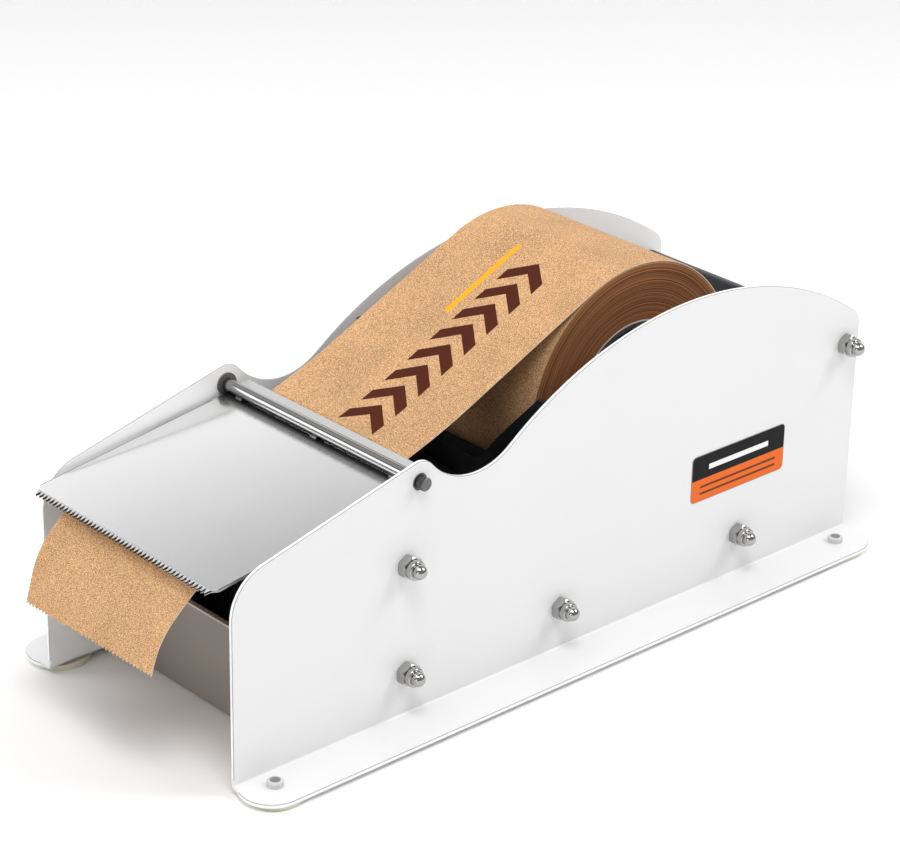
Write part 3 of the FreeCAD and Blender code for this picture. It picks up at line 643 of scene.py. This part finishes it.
def bristleTree():
    # a grid of leaning hairs whose tips end on a slope and part in waves
    tree = bpy.data.node_groups.new("bristleField", "GeometryNodeTree")
    face = tree.interface
    face.new_socket("Geometry", in_out="OUTPUT", socket_type="NodeSocketGeometry")
    kinds = {
        "Int": ("Columns", "Rows", "Sides", "Steps", "Seed"),
        "Float": ("Length", "Width", "Radius", "Front height", "Rear height", "Shorter", "Lean",
                  "Spin", "Splay", "Jitter", "Waves"),
        "Vector": ("Centre",),
        "Material": ("Material",),
    }
    for kind, names in kinds.items():
        for name in names:
            face.new_socket(name, in_out="INPUT", socket_type="NodeSocket" + kind)
    book = NodeBook(tree)
    start = tree.nodes.new("NodeGroupInput")

    def given(name):
        return Wire(book, start.outputs[name])

    def vary(low, high, shift):
        return book.node("FunctionNodeRandomValue", {"data_type": "FLOAT"},
                         {2: low, 3: high, "Seed": given("Seed") + shift}, 1)

    def eitherWay(most, shift):
        return vary(0.0 - most, most, shift)

    # the hairs' feet
    grid = book.node("GeometryNodeMeshGrid", None,
                     {"Size X": given("Length"), "Size Y": given("Width"),
                      "Vertices X": given("Columns"), "Vertices Y": given("Rows")})
    jitter = book.node("ShaderNodeCombineXYZ", None,
                       {0: eitherWay(given("Jitter"), 1), 1: eitherWay(given("Jitter"), 2)})
    feet = book.node("GeometryNodeSetPosition", None, {"Geometry": grid, "Offset": jitter})

    # one hair of unit height, stretched to the slope at its foot
    x = book.split(book.node("GeometryNodeInputPosition"))[0]
    share = x / given("Length") + 0.5
    height = given("Front height") + (given("Rear height") - given("Front height")) * share
    hair = book.node("GeometryNodeMeshCylinder", None,
                     {"Vertices": given("Sides"), "Side Segments": given("Steps"),
                      "Radius": given("Radius"), "Depth": 1.0})
    hair = book.node("GeometryNodeTransform", None, {"Geometry": hair, "Translation": (0, 0, 0.5)})
    size = book.node("ShaderNodeCombineXYZ", None,
                     {0: 1.0, 1: 1.0, 2: height * vary(given("Shorter"), 1.0, 3)})
    turn = book.node("ShaderNodeCombineXYZ", None,
                     {0: eitherWay(given("Lean"), 4), 1: eitherWay(given("Lean"), 5),
                      2: vary(0.0, given("Spin"), 6)})
    field = book.node("GeometryNodeInstanceOnPoints", None,
                      {"Points": feet, "Instance": hair, "Rotation": turn, "Scale": size})
    field = book.node("GeometryNodeRealizeInstances", None, {"Geometry": field})

    # neighbours bend together, most at their tips
    place = book.node("GeometryNodeInputPosition")
    wave = book.node("ShaderNodeTexNoise", None,
                     {"Vector": place, "Scale": given("Waves"), "Detail": 2.0}, 1)
    waveX, waveY = book.split(wave)[:2]
    rise = book.split(place)[2] / given("Rear height")
    push = rise * rise * given("Splay")
    bend = book.node("ShaderNodeCombineXYZ", None, {0: (waveX - 0.5) * push, 1: (waveY - 0.5) * push})
    field = book.node("GeometryNodeSetPosition", None, {"Geometry": field, "Offset": bend})
    field = book.node("GeometryNodeTransform", None, {"Geometry": field, "Translation": given("Centre")})
    field = book.node("GeometryNodeSetMaterial", None, {"Geometry": field, "Material": given("Material")})
    end = tree.nodes.new("NodeGroupOutput")
    tree.links.new(field.socket, end.inputs[0])
    return tree


def grown(name, tree, values):
    # runs a tree on an empty mesh and keeps its result as a plain mesh
    holder = bpy.data.objects.new(name + "_grower", bpy.data.meshes.new(name + "_seed"))
    bpy.context.scene.collection.objects.link(holder)
    modifier = holder.modifiers.new("grow", "NODES")
    modifier.node_group = tree
    for item in tree.interface.items_tree:
        if item.in_out == "INPUT":
            modifier[item.identifier] = values[item.name]
    depsgraph = bpy.context.evaluated_depsgraph_get()
    mesh = bpy.data.meshes.new_from_object(holder.evaluated_get(depsgraph))
    mesh.name = name
    piece = bpy.data.objects.new(name, mesh)
    bpy.context.scene.collection.objects.link(piece)
    bpy.data.objects.remove(holder)
    return piece


def makeBrush():
    look = brushLook
    low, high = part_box("brush_bristles")
    size = high - low
    drop = size.x * math.tan(math.radians(look["slopeDeg"]))
    piece = grown("brush_hair", bristleTree(), {
        "Columns": look["columns"], "Rows": look["rows"], "Sides": look["sides"], "Steps": look["steps"],
        "Seed": look["seed"], "Length": size.x - 2 * look["margin"], "Width": size.y - 2 * look["margin"],
        "Radius": look["radius"], "Front height": size.z - drop, "Rear height": size.z,
        "Shorter": look["shorter"], "Lean": look["lean"], "Spin": look["spin"],
        "Splay": look["splay"], "Jitter": look["jitter"], "Waves": look["wavesPerMetre"],
        "Centre": Vector(((low.x + high.x) / 2, 0, low.z)), "Material": bristleNylon()})
    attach(piece, "tank")
    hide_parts("brush_bristles")
    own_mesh(piece)
    print("brush grown:", len(piece.data.polygons), "faces")


makeBrush()


# the sweep fades between the values of each pair: sweepTop on z, sweepBack on y, sweepEnd on x
studioLook = {
    "floorSize": 14.0, "floorColour": (0.94, 0.94, 0.94), "floorPale": 1.02, "floorCloud": (2.0, 2.0),
    "floorRoughness": 0.75, "room": 0.3, "roomColour": (1.0, 1.0, 1.0, 1.0), "sweep": 1.42,
    "sweepTop": (0.548, 0.594), "sweepBack": (-0.1, 0.3), "sweepEnd": (-0.35, -0.05),
}
lampLook = {
    "keyLamp": {"place": (1.05, -0.85, 1.25), "watts": 13.5, "size": 0.8},
    "fillLamp": {"place": (-0.5, -0.75, 1.7), "watts": 13.5, "size": 0.7},
    "lowLamp": {"place": (-1.65, -0.75, 0.4), "watts": 2.2, "size": 0.6},
    "stripLamp": {"place": (-1.0, 1.0, 0.55), "watts": 4.2, "size": 0.6},
    "backLamp": {"place": (-0.1, 1.0, 1.1), "watts": 0.9, "size": 0.8},
    "topLamp": {"place": (-0.85, 0.15, 1.5), "watts": 9.0, "size": 1.2},
}
lampAim = (0, 0, 0.05)
cameraLook = {"azimuth": -42.2868, "elevation": 24.6563, "roll": 1.1045, "lens": 119.177, "sensor": 36.0,
              "clipEnd": 30.0, "place": (-0.67767, -0.74590, 0.54072)}


def makeFloor():
    look = studioLook
    half = look["floorSize"] / 2
    corners = [(-half, -half, 0), (half, -half, 0), (half, half, 0), (-half, half, 0)]
    mesh = bpy.data.meshes.new("studioFloor")
    mesh.from_pydata(corners, [], [(0, 1, 2, 3)])
    floor = bpy.data.objects.new("studioFloor", mesh)
    bpy.context.scene.collection.objects.link(floor)
    paint = Finish("floorPaint", Roughness=look["floorRoughness"])
    cloud = paint.noise(paint.place, *look["floorCloud"])
    pale = [c * look["floorPale"] for c in look["floorColour"]]
    paint.feed(Base_Color=paint.blend(cloud, look["floorColour"], pale))
    mesh.materials.append(paint.material)


def makeLamps():
    for name, look in lampLook.items():
        lamp = bpy.data.lights.new(name, "AREA")
        lamp.energy = look["watts"]
        lamp.size = look["size"]
        holder = bpy.data.objects.new(name, lamp)
        holder.location = look["place"]
        aim = Vector(lampAim) - Vector(look["place"])
        holder.rotation_euler = aim.to_track_quat("-Z", "Y").to_euler()
        bpy.context.scene.collection.objects.link(holder)


def makeWorld():
    # a dim room with a bright paper sweep behind the object and to its right, which ends below the lamps
    look = studioLook
    world = bpy.data.worlds.new("studioWorld")
    world.use_nodes = True
    sky = NodeBook(world.node_tree)
    x, y, z = sky.split(sky.node("ShaderNodeTexCoord", None, None, "Generated"))
    behind = sky.ease(y, *look["sweepBack"])
    beside = sky.ease(x, *look["sweepEnd"])
    below = 1 - sky.ease(z, *look["sweepTop"])
    glow = behind * beside * below * (look["sweep"] - look["room"]) + look["room"]
    back = world.node_tree.nodes["Background"]
    world.node_tree.links.new(glow.socket, back.inputs["Strength"])
    back.inputs["Color"].default_value = look["roomColour"]
    bpy.context.scene.world = world
    bpy.context.scene.view_settings.view_transform = "Standard"


def makeCamera():
    look = cameraLook
    turn, tilt, roll = (math.radians(look[k]) for k in ("azimuth", "elevation", "roll"))
    back = Vector((math.sin(turn) * math.cos(tilt), -math.cos(turn) * math.cos(tilt), math.sin(tilt)))
    right = Vector((math.cos(turn), math.sin(turn), 0))
    up = back.cross(right)
    across = right * math.cos(roll) + up * math.sin(roll)
    upright = up * math.cos(roll) - right * math.sin(roll)
    lens = bpy.data.cameras.new("studioCamera")
    lens.lens = look["lens"]
    lens.sensor_width = look["sensor"]
    lens.clip_end = look["clipEnd"]
    camera = bpy.data.objects.new("studioCamera", lens)
    turned = Matrix((across, upright, back)).transposed().to_4x4()
    camera.matrix_world = Matrix.Translation(look["place"]) @ turned
    bpy.context.scene.collection.objects.link(camera)
    bpy.context.scene.camera = camera


makeFloor()
makeLamps()
makeWorld()
makeCamera()
print("studio ready")
